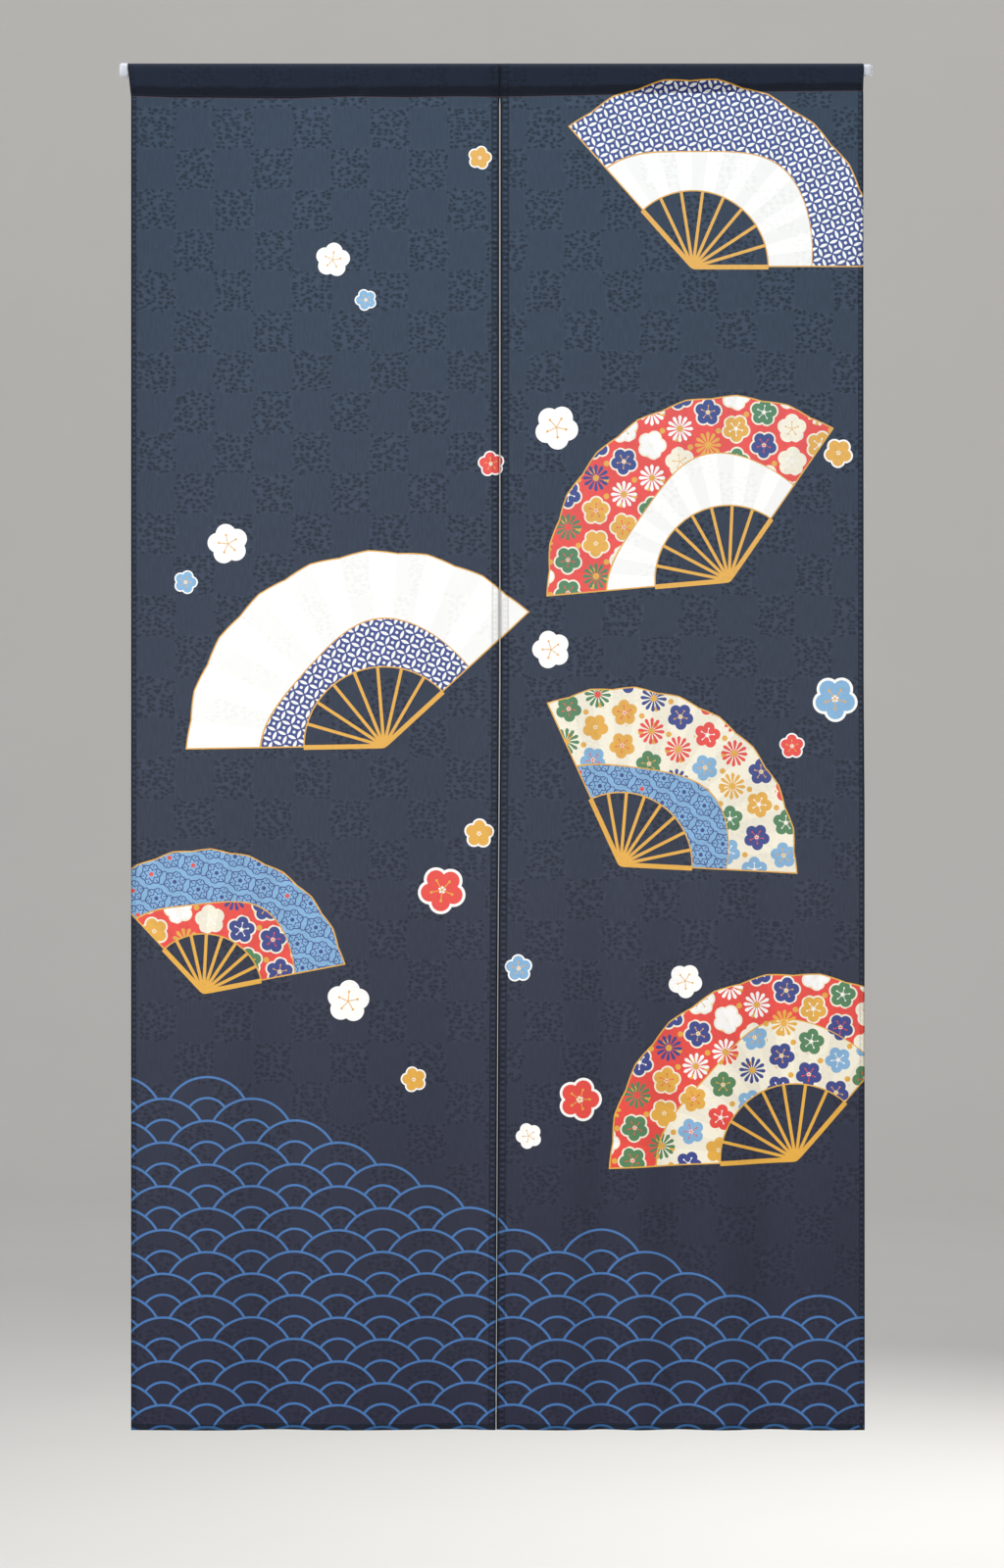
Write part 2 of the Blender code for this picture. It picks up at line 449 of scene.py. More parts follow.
def give(tree, **results):
    """Ends a node group, with an output for each result."""
    kinds = {"VALUE": "NodeSocketFloat", "VECTOR": "NodeSocketVector", "RGBA": "NodeSocketColor"}
    sockets = {label: output_of(value) for label, value in results.items()}
    for label, socket in sockets.items():
        tree.interface.new_socket(label, in_out="OUTPUT", socket_type=kinds[socket.type])
    end = tree.nodes.new("NodeGroupOutput")
    for label, socket in sockets.items():
        tree.links.new(socket, end.inputs[label])
    return tree


def cells_group():
    """Staggered cells: a place inside the nearest cell, in pitches, and the cell's own chances."""
    tree, put, place, pitch = new_group("Staggered Cells", Place="Vector", Pitch="Float")
    row_height = 0.866
    scaled = put("VectorMath.SCALE", place, put("DIVIDE", 1.0, pitch))
    x, y, _ = put("SeparateXYZ", scaled).outputs
    tall = put("DIVIDE", y, row_height)
    row = put("FLOOR", tall)
    wide = put("MULTIPLY_ADD", put("FLOORED_MODULO", row, 2.0), 0.5, x)
    column = put("FLOOR", wide)
    across = put("SUBTRACT", wide, column)
    up = put("SUBTRACT", tall, row)
    local_x = put("SUBTRACT", across, 0.5)
    local = put("CombineXYZ", local_x, put("MULTIPLY_ADD", up, row_height, -0.5 * row_height))
    cell = put("CombineXYZ", column, row)
    chance, colour = put("TexWhiteNoise", cell, noise_dimensions="2D").outputs
    _, other, _ = put("SeparateColor", colour).outputs
    return give(tree, Local=local, Chance=chance, Other=other)


def blossom_group():
    """A plum blossom of radius 1 with five round petals, a rim and stamens."""
    tree, put, place, turn = new_group("Plum Blossom", Place="Vector", Turn="Float")
    petals, petal_reach, petal_radius, rim = 5, 0.56, 0.42, 0.13
    stamen_reach, stamen_line, stamen_dot = 0.50, 0.022, 0.062
    x, y, _ = put("SeparateXYZ", place).outputs
    reach = put("VectorMath.LENGTH", place)
    turned = put("ADD", put("ARCTAN2", y, x), turn)
    half = math.pi / petals
    wrapped = put("WRAP", turned, half, -half)
    cosine = put("COSINE", wrapped)
    sine = put("SINE", wrapped)
    along = put("MULTIPLY", reach, cosine)
    aside = put("MULTIPLY", reach, sine)
    folded = put("CombineXYZ", along, aside)
    off_petal = put("VectorMath.DISTANCE", folded, (petal_reach, 0, 0))
    petal = put("LESS_THAN", off_petal, petal_radius)
    rimmed = put("LESS_THAN", off_petal, petal_radius + rim)
    thin = put("LESS_THAN", put("ABSOLUTE", aside), stamen_line)
    stem = put("MULTIPLY", thin, put("LESS_THAN", reach, stamen_reach))
    dot = put("LESS_THAN", put("VectorMath.DISTANCE", folded, (stamen_reach, 0, 0)), stamen_dot)
    stamens = put("MAXIMUM", stem, dot)
    return give(tree, Petals=petal, Rim=rimmed, Stamens=stamens)


def star_flower_group():
    """A chrysanthemum of radius 1, with many narrow petals round a small heart."""
    tree, put, place = new_group("Chrysanthemum", Place="Vector")
    petals, heart, petal_share, notch = 12, 0.24, 0.62, 0.35
    x, y, _ = put("SeparateXYZ", place).outputs
    reach = put("VectorMath.LENGTH", place)
    angle = put("ARCTAN2", y, x)
    half = math.pi / petals
    wrapped = put("WRAP", angle, half, -half)
    petal = put("LESS_THAN", put("ABSOLUTE", wrapped), half * petal_share)
    round_tip = put("COSINE", put("MULTIPLY", wrapped, petals / 2))
    inside = put("LESS_THAN", reach, put("MULTIPLY_ADD", round_tip, notch, 1 - notch))
    shape = put("MULTIPLY", petal, inside)
    middle = put("LESS_THAN", reach, heart)
    return give(tree, Petals=shape, Heart=middle)


def fan_group():
    """An open folding fan that stands on its pivot: its leaf, trim, sticks and pleats."""
    tree, put, place, radius, half_span = new_group(
        "Folding Fan", Place="Vector", Radius="Float", Span="Float"
    )
    pleats, tooth, inner_share = 16, 0.016, 0.40
    trim_line, stick_line, guard_line, stick_overlap, pivot = 1.5, 1.7, 2.6, 1.0, 5.0
    x, y, _ = put("SeparateXYZ", place).outputs
    out = put("VectorMath.LENGTH", place)
    angle = put("ARCTAN2", x, y)
    aside = put("ABSOLUTE", angle)
    pleat = put("MULTIPLY", half_span, 2 / pleats)
    tooth_share = put("DIVIDE", put("PINGPONG", angle, pleat), pleat)
    rim = put("MULTIPLY", radius, put("MULTIPLY_ADD", tooth_share, -tooth, 1.0))
    inner = put("MULTIPLY", radius, inner_share)
    from_rim = put("SUBTRACT", rim, out)
    from_inner = put("SUBTRACT", out, inner)
    from_side = put("MULTIPLY", put("SUBTRACT", half_span, aside), out)
    margin = put("MINIMUM", put("MINIMUM", from_rim, from_inner), from_side)
    leaf = put("GREATER_THAN", margin, 0.0)
    trim = put("COMPARE", margin, trim_line / 2, trim_line / 2)
    wrapped = put("WRAP", angle, pleat, put("MULTIPLY", pleat, -1.0))
    stick = put("COMPARE", put("MULTIPLY", wrapped, out), 0.0, stick_line)
    open_side = put("GREATER_THAN", from_side, -guard_line)
    guard = put("COMPARE", from_side, 0.0, guard_line)
    below = put("LESS_THAN", from_inner, stick_overlap)
    lit = put("MULTIPLY", put("MAXIMUM", stick, guard), open_side)
    sticks = put("MULTIPLY", lit, below)
    sticks_and_hub = put("MAXIMUM", sticks, put("LESS_THAN", out, pivot))
    reach = put("DIVIDE", out, radius)
    step_floor = put("FLOOR", put("DIVIDE", angle, pleat))
    shade = put("FLOORED_MODULO", step_floor, 2.0)
    return give(tree, Leaf=leaf, Trim=trim, Sticks=sticks_and_hub, Reach=reach, Pleat=shade)


def flowers_pattern(groups):
    """Flowers in staggered cells, on red or on cream: plum blossoms, chrysanthemums and buds."""
    tree, put, place, on_cream = new_group("Flower Ground", Place="Vector", Cream="Float")
    pitch, flower_share, plum_chance = 36.0, 0.41, 0.66
    bud_pitch, bud_radius, no_bud_chance = 18.0, 0.17, 0.45
    local, chance, other = put(groups["cells"], place, pitch).outputs
    unit = put("VectorMath.SCALE", local, 1 / flower_share)
    turn = put("MULTIPLY", other, math.tau)
    petals, rim, stamens = put(groups["blossom"], unit, turn).outputs
    rays, heart = put(groups["star"], unit).outputs
    is_star = put("GREATER_THAN", other, plum_chance)
    is_plum = put("SUBTRACT", 1.0, is_star)
    on_red_names = ("white", "ochre", "navy", "green", "cream")
    on_cream_names = ("red", "ochre", "navy", "green", "light_blue")
    red_petals = set_inks(put("ValToRGB", chance), on_red_names)
    cream_petals = set_inks(put("ValToRGB", chance), on_cream_names)
    petal_colour = put("Mix.RGBA", on_cream, red_petals, cream_petals)
    hearts = set_inks(put("ValToRGB", other), ("ochre", "white", "red", "ochre"))
    small, small_chance, _ = put(groups["cells"], place, bud_pitch).outputs
    bud = put("LESS_THAN", put("VectorMath.LENGTH", small), bud_radius)
    bud_shown = put("MULTIPLY", bud, put("GREATER_THAN", small_chance, no_bud_chance))
    rim_shown = put("MULTIPLY", rim, is_plum)
    petals_shown = put("MULTIPLY", petals, is_plum)
    flower = put("MAXIMUM", petals_shown, put("MULTIPLY", rays, is_star))
    stamens_shown = put("MULTIPLY", stamens, is_plum)
    inner = put("MAXIMUM", stamens_shown, put("MULTIPLY", heart, is_star))
    colour = put("Mix.RGBA", on_cream, ink("red"), ink("cream"))
    for shown, over in (
        (bud_shown, ink("ochre")),
        (rim_shown, ink("cream")),
        (flower, petal_colour),
        (inner, hearts),
    ):
        colour = put("Mix.RGBA", shown, colour, over)
    return give(tree, Colour=colour)


def lattice_pattern():
    """Seven treasures: overlapping circles that leave white leaves and dots on navy."""
    tree, put, place = new_group("Seven Treasures", Place="Vector")
    pitch, overlap, dot = 17.0, 0.455, 0.10
    half = (0.5, 0.5, 0.0)
    scaled = put("VectorMath.SCALE", place, 1 / pitch)
    flat = put("VectorMath.MULTIPLY", scaled, (1.0, 1.0, 0.0))
    shifted = put("VectorMath.ADD", flat, half)
    distances = []
    for start in (flat, shifted):
        shares = put("VectorMath.FRACTION", start)
        distances.append(put("VectorMath.DISTANCE", shares, half))
    furthest = put("MAXIMUM", *distances)
    nearest = put("MINIMUM", *distances)
    leaf = put("LESS_THAN", furthest, overlap)
    white = put("MAXIMUM", leaf, put("LESS_THAN", nearest, dot))
    colour = put("Mix.RGBA", white, ink("navy"), ink("white"))
    return give(tree, Colour=colour)


def hexagons_pattern(groups):
    """Line-drawn six-petalled flowers in staggered cells on light blue, some with red hearts."""
    tree, put, place = new_group("Blue Hexagon Flowers", Place="Vector")
    pitch, line, ray_line, ray_start, heart_radius = 27.0, 0.026, 0.0182, 0.29, 0.085
    outer_wave, outer_radius = 0.045, 0.40
    inner_wave, inner_radius = -0.050, 0.235
    local, chance, _ = put(groups["cells"], place, pitch).outputs
    x, y, _ = put("SeparateXYZ", local).outputs
    out = put("VectorMath.LENGTH", local)
    angle = put("ARCTAN2", x, y)
    lobes = put("COSINE", put("MULTIPLY", angle, 6.0))
    outer_edge = put("MULTIPLY_ADD", lobes, outer_wave, outer_radius)
    inner_edge = put("MULTIPLY_ADD", lobes, inner_wave, inner_radius)
    outer = put("COMPARE", out, outer_edge, line)
    inner = put("COMPARE", out, inner_edge, line)
    off_ray = put("MULTIPLY", put("WRAP", angle, math.pi / 6, -math.pi / 6), out)
    ray = put("COMPARE", off_ray, 0.0, ray_line)
    rays = put("MULTIPLY", ray, put("GREATER_THAN", out, ray_start))
    lines = put("MAXIMUM", put("MAXIMUM", outer, inner), rays)
    heart = put("LESS_THAN", out, heart_radius)
    heart_colour = set_inks(put("ValToRGB", chance), ("navy", "navy", "red", "navy"))
    lined = put("Mix.RGBA", lines, ink("light_blue"), ink("navy"))
    colour = put("Mix.RGBA", heart, lined, heart_colour)
    return give(tree, Colour=colour)


def wave_row_group():
    """One row of wave scales: how far a place is from its scale's centre, and if it is drawn."""
    tree, put, place, row = new_group("Wave Row", Place="Vector", Row="Float")
    x, y, _ = put("SeparateXYZ", place).outputs
    shifted = put("MULTIPLY_ADD", put("FLOORED_MODULO", row, 2.0), -WAVE_RADIUS, x)
    aside = put("WRAP", shifted, WAVE_RADIUS, -WAVE_RADIUS)
    centre_x = put("SUBTRACT", x, aside)
    centre_y = put("MULTIPLY", row, -WAVE_RADIUS / 2)
    offset = put("CombineXYZ", aside, put("SUBTRACT", y, centre_y))
    distance = put("VectorMath.LENGTH", offset)
    inside = put("LESS_THAN", distance, WAVE_RADIUS)
    rolled = put("SINE", put("DIVIDE", centre_x, WAVE_ROLL_LENGTH))
    climb = put("MULTIPLY_ADD", centre_x, WAVE_CLIMB, WAVE_TOP)
    under = put("LESS_THAN", centre_y, put("MULTIPLY_ADD", rolled, WAVE_ROLL, climb))
    shown = put("MULTIPLY", inside, under)
    return give(tree, Distance=distance, Shown=shown)


def waves_group(groups):
    """Rows of ringed scales, each row in front of the one above it, as lines."""
    tree, put, place = new_group("Blue Waves", Place="Vector")
    _, y, _ = put("SeparateXYZ", place).outputs
    rows = put("DIVIDE", put("SUBTRACT", WAVE_RADIUS, y), WAVE_RADIUS / 2)
    lowest = put("FLOOR", rows)
    distance, shown = 0.0, 0.0
    for back in (2.0, 1.0, 0.0):
        row = put("SUBTRACT", lowest, back)
        away, front = put(groups["wave row"], place, row).outputs
        distance = put("Mix", front, distance, away)
        shown = put("MAXIMUM", shown, front)
    from_rim = put("SUBTRACT", WAVE_RADIUS - WAVE_LINE, distance)
    ring = put("COMPARE", put("WRAP", from_rim, WAVE_RING / 2, -WAVE_RING / 2), 0.0, WAVE_LINE)
    rings = put("MULTIPLY", ring, put("GREATER_THAN", distance, WAVE_RING / 2))
    return give(tree, Lines=put("MULTIPLY", rings, shown))


def print_group():
    """The whole print, from a place in millimetres on the cloth's face: its colour and cover."""
    groups = {
        "cells": cells_group(),
        "blossom": blossom_group(),
        "star": star_flower_group(),
        "wave row": wave_row_group(),
        "fan": fan_group(),
        "lattice": lattice_pattern(),
    }
    groups["waves"] = waves_group(groups)
    groups["flowers"] = flowers_pattern(groups)
    groups["hexagons"] = hexagons_pattern(groups)
    tree, put, place = new_group("Noren Print", Place="Vector")
    waves = put(groups["waves"], place)

    # Single blossoms: each takes over the place inside its own circle, and all are drawn at
    # once. The third number of the place carries the colour.
    spot = (9.0, 9.0, 0.0)
    for x, y, radius, turn, name in BLOSSOMS:
        centre = (x, y, -CODE_STEP * BLOSSOM_COLOURS.index(name))
        around = (0, 0, math.radians(turn))
        size = (radius, radius, 1)
        local = put("Mapping", place, centre, around, size, vector_type="TEXTURE")
        out = put("VectorMath.LENGTH", local)
        inside = put("LESS_THAN", out, BLOSSOM_REACH)
        spot = put("Mix.VECTOR", inside, spot, local)
    x, y, code = put("SeparateXYZ", spot).outputs
    petals, rim, stamens = put(groups["blossom"], put("CombineXYZ", x, y), 0.0).outputs
    names = len(BLOSSOM_COLOURS)
    half_step = 0.5 / names
    choice = put("MapRange", code, 0.0, CODE_STEP * names, half_step, 1 + half_step)
    petal_colour = set_inks(put("ValToRGB", choice), BLOSSOM_COLOURS)
    colour = ink("line_blue")
    for shown, over in ((rim, ink("white")), (petals, petal_colour), (stamens, ink("ochre"))):
        colour = put("Mix.RGBA", shown, colour, over)
    printed = put("MAXIMUM", waves, rim)

    # Fans: each takes over the place inside its own sector, with its size and its patterns
    carried = ((0.0, -900.0, 0.0), (1.0, 0.5, 0.0), (0.0, 0.0, 0.0))
    for x, y, radius, turn, span, outer, inner, share in FANS:
        half_span = math.radians(span / 2)
        around = (0, 0, -math.radians(turn))
        local = put("Mapping", place, (x, y, 0), around, (1, 1, 1), vector_type="TEXTURE")
        out = put("VectorMath.LENGTH", local)
        up = put("VectorMath.DOT_PRODUCT", local, (0, 1, 0))
        side = put("MULTIPLY_ADD", out, math.cos(half_span), -GUARD_ROOM)
        within = put("GREATER_THAN", up, side)
        near = put("LESS_THAN", out, float(radius))
        inside = put("MULTIPLY", within, near)
        patterns = (float(FAN_CLOTHS.index(outer)), float(FAN_CLOTHS.index(inner)), 0.0)
        own = (local, (float(radius), half_span, share), patterns)
        carried = [
            put("Mix.VECTOR", inside, before, mine)
            for before, mine in zip(carried, own)
        ]
    spot, size, patterns = carried
    radius, half_span, share = put("SeparateXYZ", size).outputs
    leaf, trim, sticks, reach, pleat = put(groups["fan"], spot, radius, half_span).outputs
    colour = put("Mix.RGBA", sticks, colour, ink("ochre"))
    printed = put("MAXIMUM", printed, sticks)
    x, _, _ = put("SeparateXYZ", spot).outputs
    wave = put("SINE", put("MULTIPLY", put("DIVIDE", x, radius), math.tau))
    join_wave, pleat_shade = 0.05, 0.07
    line = put("MULTIPLY_ADD", wave, join_wave, share)
    is_outer = put("GREATER_THAN", reach, line)
    outer, inner, _ = put("SeparateXYZ", patterns).outputs
    code = put("Mix", is_outer, inner, outer)
    leaf_colour = ink("white")
    past = {}
    for name in ("white", "lattice", "blue hexagons", "red flowers"):
        past[name] = put("GREATER_THAN", code, FAN_CLOTHS.index(name) + 0.5)
    flowers = put(groups["flowers"], spot, past["red flowers"])
    lattice = put(groups["lattice"], spot)
    hexagons = put(groups["hexagons"], spot)
    for name, over in (("white", lattice), ("lattice", hexagons), ("blue hexagons", flowers)):
        leaf_colour = put("Mix.RGBA", past[name], leaf_colour, over)
    off_line = put("MULTIPLY", put("SUBTRACT", reach, line), radius)
    edged = put("MAXIMUM", put("COMPARE", off_line, 0.0, FAN_JOIN / 2), trim)
    leaf_colour = put("Mix.RGBA", edged, leaf_colour, ink("ochre"))
    shaded = put("VectorMath.SCALE", leaf_colour, put("MULTIPLY_ADD", pleat, -pleat_shade, 1.0))
    colour = put("Mix.RGBA", leaf, colour, shaded)
    printed = put("MAXIMUM", printed, leaf)
    return give(tree, Colour=colour, Printed=printed)


def jacquard_group():
    """The woven ground: squares of small dark pebbles by turns with plain ones, and threads."""
    tree, put, place, strength = new_group("Jacquard Ground", Place="Vector", Strength="Float")
    pebble_wander, wander_size, pebble_width, pebble_height = 1.3, 8.0, 7.0, 4.5
    pebble_edge, pebble_heart, gap_edge, gap_heart = 0.42, 0.12, 0.40, 0.60
    pebble_shade, gap_shade, slub_shade, thread_shade = -0.50, 0.22, 0.36, 0.015
    slubs_in_mm = (0.50, 0.07, 1.0)
    # The real threads are under 0.2 mm apart. They are drawn 1.2 mm apart so that they show.
    thread_pitch = 1.2
    _, wandering = put("TexNoise", place, 1 / wander_size, 1.0, noise_dimensions="2D").outputs
    centred = put("VectorMath.SUBTRACT", wandering, (0.5, 0.5, 0.5))
    squirmed = put("VectorMath.ADD", place, put("VectorMath.SCALE", centred, 4 * pebble_wander))
    per_pebble = (1 / pebble_width, 1 / pebble_height, 1.0)
    scaled = put("VectorMath.MULTIPLY", squirmed, per_pebble)
    loose = {"Scale": 1.0, "Randomness": 0.78}
    spots = put("TexVoronoi", scaled, sockets=loose, voronoi_dimensions="2D").outputs

    # A square's edge goes round whole pebbles, so its place is that of the pebble's middle
    pebble = (pebble_width, pebble_height, 1.0)
    x, y, _ = put("SeparateXYZ", put("VectorMath.MULTIPLY", spots["Position"], pebble)).outputs
    across = put("SUBTRACT", x, SQUARES_LEFT)
    down = put("SUBTRACT", y, SQUARES_TOP)
    column_share = put("DIVIDE", across, SQUARE_WIDTH)
    row_share = put("DIVIDE", down, SQUARE_HEIGHT)
    column = put("FLOOR", column_share)
    both = put("ADD", column, put("CEIL", row_share))
    pebbled = put("SUBTRACT", 1.0, put("FLOORED_MODULO", both, 2.0))

    # A pebble is darkest in its middle, and the gaps between pebbles are lightest
    dark = put("MapRange", spots["Distance"], pebble_edge, pebble_heart, 0.0, 1.0)
    light = put("MapRange", spots["Distance"], gap_edge, gap_heart, 0.0, 1.0)
    weight = put("MULTIPLY", pebbled, strength)
    dark_here = put("MULTIPLY", dark, weight)
    light_here = put("MULTIPLY", light, weight)
    darker = put("MULTIPLY_ADD", dark_here, pebble_shade, 1.0)
    shade = put("MULTIPLY_ADD", light_here, gap_shade, darker)

    # Warp and weft cross in fine waves, and the warp's slubs run long and thin
    x, y, _ = put("SeparateXYZ", place).outputs
    turn = math.tau / thread_pitch
    warp_turn = put("MULTIPLY", x, turn)
    weft_turn = put("MULTIPLY", y, turn)
    warp = put("SINE", warp_turn)
    threads = put("MULTIPLY", warp, put("SINE", weft_turn))
    stretched = put("VectorMath.MULTIPLY", place, slubs_in_mm)
    slubs = put("TexNoise", stretched, 1.0, 2.0, noise_dimensions="2D")
    shade = put("ADD", shade, put("MULTIPLY_ADD", slubs, slub_shade, -slub_shade / 2))
    shade = put("MULTIPLY_ADD", threads, thread_shade, shade)
    return give(tree, Shade=shade, Threads=threads)


def needlework_group():
    """How the sewing marks the hems, in relief and in painted shade and light: strips of folded cloth
    in painted shade but for a painted light dot between each pair of stitches, and a line of dimples
    in painted shade along the bottom hem.

    The share is 0 at a hem's outer fold and 1 at its inner edge.
    """
    tree, put, place, share = new_group("Sewn Hems", Place="Vector", Share="Float")
    strip_end, strip_middle, dot_width = 1.04, 0.56, 0.38
    hem_line, hem_line_width = (BOTTOM_HEM - STITCH_FROM_HEM_EDGE) / MM, 1.1
    dot_ends, stitch_ends = (-0.3, 0.5), (-0.6, 0.6)
    turn = math.tau / (DOT_PITCH / MM)
    x, y, _ = put("SeparateXYZ", place).outputs
    down = put("MULTIPLY", y, turn)
    along = put("MULTIPLY", x, turn)
    down_wave = put("COSINE", down)
    along_wave = put("COSINE", along)
    strip = put("MapRange", share, strip_end, strip_end - 0.1, 0.0, 1.0)
    off_middle = put("ABSOLUTE", put("SUBTRACT", share, strip_middle))
    dot_across = put("MapRange", off_middle, dot_width, dot_width / 3, 0.0, 1.0)
    dots = put("MULTIPLY", dot_across, put("MapRange", down_wave, *dot_ends, 0.0, 1.0))
    off_hem = put("ABSOLUTE", put("ADD", y, CLOTH_DROP / MM))
    off_line = put("ABSOLUTE", put("SUBTRACT", off_hem, hem_line))
    low_line = put("MapRange", off_line, 0.2, hem_line_width, 1.0, 0.0)
    dimples = put("MULTIPLY", low_line, put("MapRange", along_wave, *stitch_ends, 0.0, 1.0))
    return give(tree, Strip=put("MAXIMUM", strip, dimples), Dots=dots)


def new_material(name):
    """A new material and what puts nodes in it."""
    material = bpy.data.materials.new(name)
    material.use_nodes = True
    return material, partial(put_node, material.node_tree)


def finish_surface(material, **inputs):
    """Fills the inputs of a material's surface shader, named with _ for a blank."""
    shader = material.node_tree.nodes["Principled BSDF"]
    for name, value in inputs.items():
        fill(material.node_tree, shader.inputs[name.replace("_", " ")], value)


def cloth_material(name, groups, settings, reverse):
    """Jacquard woven polyester cloth, printed on its face: matt, slightly sheer and soft.

    The light that comes through the single cloth is painted into its colour, and where it is
    doubled, at the pocket and hems, no light comes through and its colour is painted deeper, as
    painted shade. The print shows on the reverse only as a pale, weak shadow of itself.
    """
    print_strength = 0.38 if reverse else 0.97
    doubled_shade, waver_size, waver_height = 0.48, 28.0, 0.22
    weave_at_foot, weave_at_pocket = 0.60, 0.55
    glow_middle_place, glow_at_left, print_glow = 0.58, 0.78, 1.5
    stitch_shade, dot_lift, stitch_depth, thread_depth = -0.47, -1.7, -0.8, 0.16
    welt_highlight_strength, doubled_print_shade, print_shading = 0.5, 0.60, 0.12
    material, put = new_material(name)
    place = put("VectorMath.SCALE", put("UVMap", uv_map="cloth"), 1 / MM)
    share, welt, covered = (
        put("Attribute", attribute_name=layer, attribute_type="GEOMETRY").outputs["Fac"]
        for layer in ("hem_share", "welt", "cover")
    )
    colour, printed = put(groups["print"], place).outputs
    strip, dots = put(groups["needle"], place, share).outputs

    # The dyed ground, with painted shade where layers lie on each other, and painted light through
    # one layer, bluer at the top and greyer at the foot, weaker at the far left
    sheer = put("MapRange", covered, 0.0, POCKET_COVER, 1.0, 0.0)
    noise = put("TexNoise", place, 1 / waver_size, 2.0, noise_dimensions="2D")
    waver = put("MULTIPLY_ADD", noise, waver_height, -waver_height / 2)
    layer_shade = put("MapRange", put("ADD", covered, waver), 0.82, 0.98, 1.0, doubled_shade)
    _, y, _ = put("SeparateXYZ", place).outputs
    down = put("MapRange", y, -60.0, -CLOTH_DROP / MM, 0.0, 1.0)
    # Painted light: the weave's contrast, which light through the cloth brings out, is made weaker toward
    # the foot and where layers cover the face
    weave_backlight = put("MapRange", down, 0.15, 0.95, 1.0, weave_at_foot)
    clear = put("MapRange", covered, 0.0, POCKET_COVER, 1.0, weave_at_pocket)
    weave, threads = put(groups["jacquard"], place, put("MULTIPLY", weave_backlight, clear)).outputs
    glows = [(*glow, 1.0) for glow in (settings.glow_top, settings.glow_middle, settings.glow_foot)]
    glow = set_stops(put("ValToRGB", down), (0.0, glow_middle_place, 1.0), glows)
    slant = put("VectorMath.DOT_PRODUCT", place, (1.0, -0.2, 0.0))
    shining = put("MULTIPLY", sheer, put("MapRange", slant, 20.0, 210.0, glow_at_left, 1.0))
    painted_backlight = put("VectorMath.SCALE", glow, shining)
    ground = put("VectorMath.ADD", put("VectorMath.SCALE", tuple(settings.ground), layer_shade), painted_backlight)

    # The weave shades it, the needlework adds painted shade on the hem strips and dimples and a
    # painted light dot between stitches, and a painted reddish highlight runs under the header
    # Painted shade on the sewn strips and dimples and painted light on the dots; the same marks give the
    # bump its relief
    pressed = put("MULTIPLY", strip, put("MULTIPLY_ADD", dots, dot_lift, 1.0))
    sewn_relief_and_shade = put("MULTIPLY", pressed, clear)
    shade = put("MULTIPLY", weave, put("MULTIPLY_ADD", sewn_relief_and_shade, stitch_shade, 1.0))
    plain = put("VectorMath.SCALE", ground, shade)
    # Painted highlight: a thin reddish line where the edge of the fold under the header catches light
    welt_highlight = put("MapRange", welt, 0.70, 1.0, 0.0, welt_highlight_strength)
    toned = put("Mix.RGBA", welt_highlight, plain, linear("5B464D"))

    # The print covers the ground and takes a little of its shade and light: the weave's shade,
    # painted shade where layers lie behind it and painted light through the cloth
    print_layer_shade = put("MapRange", covered, 0.0, 1.0, 1.0, doubled_print_shade)
    soft_shade = put("MULTIPLY_ADD", shade, print_shading, 1 - print_shading)
    print_tone = put("MULTIPLY", print_layer_shade, soft_shade)
    print_colour = put("VectorMath.SCALE", colour, print_tone)
    lifted = put("VectorMath.ADD", print_colour, put("VectorMath.SCALE", painted_backlight, print_glow))
    shown = put("MULTIPLY", printed, print_strength)
    height = put("MULTIPLY_ADD", sewn_relief_and_shade, stitch_depth, put("MULTIPLY", threads, thread_depth))
    relief = {"Strength": 0.35, "Distance": 0.00025, "Height": height}
    finish_surface(
        material,
        Base_Color=put("Mix.RGBA", shown, toned, lifted),
        Normal=put("Bump", sockets=relief),
        Roughness=put("MapRange", weave, 0.6, 1.1, 0.74, 0.86),
        Specular_IOR_Level=0.15,
        Sheen_Weight=0.05,
        Sheen_Roughness=0.5,
    )
    return material


def grained_material(name, colour, mottle, roughness=0.5, grain=None):
    """A material of one colour with a soft mottle and, if one is given, a fine grain.

    The mottle is its size, detail, darkest and lightest shade. The grain is its size, detail,
    strength, depth, and the roughness of its low and high spots.
    """
    material, put = new_material(name)
    place = put("TexCoord").outputs["Object"]
    size, detail, *shades = mottle
    shade = put("MapRange", put("TexNoise", place, 1 / size, detail), 0.3, 0.7, *shades)
    toned = put("VectorMath.SCALE", tuple(colour), shade)
    finish_surface(material, Base_Color=toned, Roughness=roughness)
    if grain:
        size, detail, strength, depth, *roughs = grain
        fine = put("TexNoise", place, 1 / size, detail)
        relief = {"Strength": strength, "Distance": depth, "Height": fine}
        finish_surface(
            material,
            Normal=put("Bump", sockets=relief),
            Roughness=put("MapRange", fine, 0.3, 0.7, *roughs),
        )
    return material


def header_depth(x):
    """How far the header's lower edge lies below the rod, at places along it."""
    places, depths = zip(*HEADER_EDGE)
    return np.interp(x, places, depths)


def upright_edge(column, z):
    """The place along the rod of one upright edge, at these heights."""
    rows = np.array(UPRIGHT_EDGES)
    return np.interp(-z, rows[:, 0], rows[:, column])


def fold_offset(x, z):
    """How far the folds push the cloth away from the viewer."""
    total = np.zeros(np.broadcast(x, z).shape)
    for centre, half_width, depth, start in FOLDS:
        grown = eased((-z - start) / (CLOTH_DROP - start))
        total += depth * grown * np.exp(-(((x - centre) / half_width) ** 2))
    return total


def ripple_offset(x, z, height):
    """Small uneven ripples of the cloth, gentler under the header than at the hem."""
    total = np.zeros(np.broadcast(x, z).shape)
    for across, down, phase, share in RIPPLES:
        total += share * np.sin(math.tau * (across * x + down * z) + phase)
    return height * total * eased((-z - RIPPLE_START) / RIPPLE_GROWTH)


def panel_width(panel):
    """The width of the straight cloth, which is that at the hem."""
    left, right = (upright_edge(column, -CLOTH_DROP) for column in panel["edges"])
    return float(right - left)


